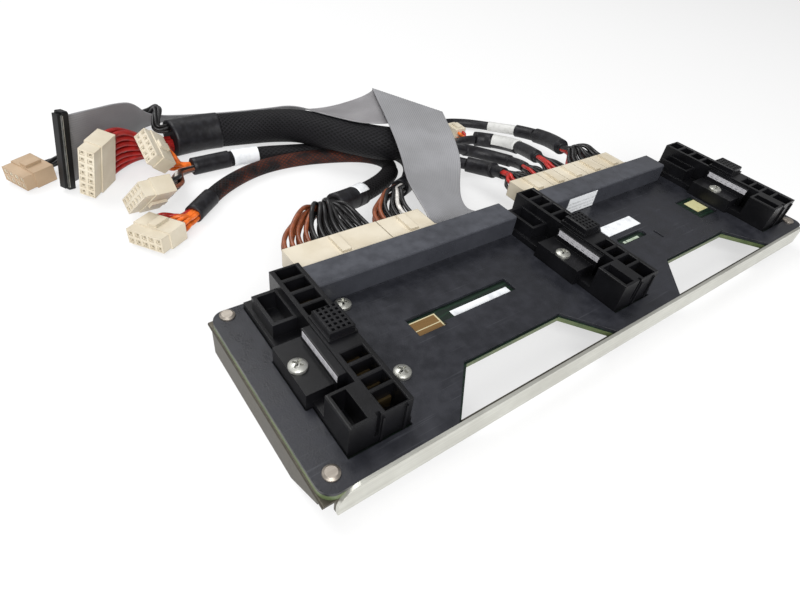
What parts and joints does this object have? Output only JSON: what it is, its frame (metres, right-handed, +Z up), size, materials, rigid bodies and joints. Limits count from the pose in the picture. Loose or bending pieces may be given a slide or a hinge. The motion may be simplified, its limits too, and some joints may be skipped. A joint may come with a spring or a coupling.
{
  "type": "power backplane board with cable harness",
  "caption": "Long power distribution board on a folded steel bracket, with blind-mate supply connectors, an insulating cover and a sleeved cable harness with a flat ribbon.",
  "frame": {"origin": "middle of the board's footprint, on the surface its bracket stands on, without the cables", "axes": "+X along the board from the first connector to the last, +Y from the front rail to the cables, +Z up"},
  "size_m": [0.3983, 0.3178, 0.0445],
  "materials": {
    "zinc_sheet": "satin zinc",
    "bright_rail": "bright zinc",
    "board_green": "solder mask",
    "cover_black": "fine texture",
    "fastener_steel": "zinc",
    "housing_black": "moulded",
    "contact_metal": "plated",
    "plug_cream": "moulded",
    "plug_peach": "moulded",
    "ribbon_grey": "smooth",
    "wire_mixed": "smooth",
    "sleeve_black": "braided"
  },
  "bodies": {
    "root": {"branch_first": "sleeve_black", "branch_fourth": "sleeve_black", "branch_second": "sleeve_black", "branch_third": "sleeve_black", "circuit_board": "board_green", "connector_screws": "fastener_steel", "cord_inner": "sleeve_black", "cord_left": "sleeve_black", "cord_orange": "wire_mixed", "cord_peach": "sleeve_black", "corner_rivets": "fastener_steel", "fan_front": "wire_mixed", "fan_left_narrow": "wire_mixed", "fan_left_wide": "wire_mixed", "fan_mixed": "wire_mixed", "fan_right_first": "wire_mixed", "fan_right_fourth": "wire_mixed", "fan_right_second": "wire_mixed", "fan_right_third": "wire_mixed", "fan_spare": "wire_mixed", "fan_tall": "wire_mixed", "front_rail": "bright_rail", "header_left_narrow": "plug_cream", "header_left_wide": "plug_cream", "header_ribbon": "housing_black", "header_right_fifth": "plug_cream", "header_right_first": "plug_cream", "header_right_fourth": "plug_cream", "header_right_second": "plug_cream", "header_right_third": "plug_cream", "insulator_cover": "cover_black", "plug_front": "plug_cream", "plug_left_narrow": "plug_cream", "plug_left_wide": "plug_cream", "plug_mixed": "plug_cream", "plug_orange": "plug_cream", "plug_peach": "plug_peach", "plug_right_fifth": "plug_cream", "plug_right_first": "plug_cream", "plug_right_fourth": "plug_cream", "plug_right_second": "plug_cream", "plug_right_third": "plug_cream", "plug_spare": "plug_cream", "plug_tall": "plug_cream", "power_connector_left": "housing_black", "power_connector_middle": "housing_black", "power_connector_right": "housing_black", "power_contacts": "contact_metal", "ribbon_bar": "housing_black", "ribbon_cable": "ribbon_grey", "ribbon_connector": "housing_black", "ribbon_socket": "housing_black", "signal_contacts": "contact_metal", "signal_module_left": "housing_black", "signal_module_middle": "housing_black", "signal_module_right": "housing_black", "steel_bracket": "zinc_sheet", "trunk_sleeve": "sleeve_black"}
  },
  "joints": []
}
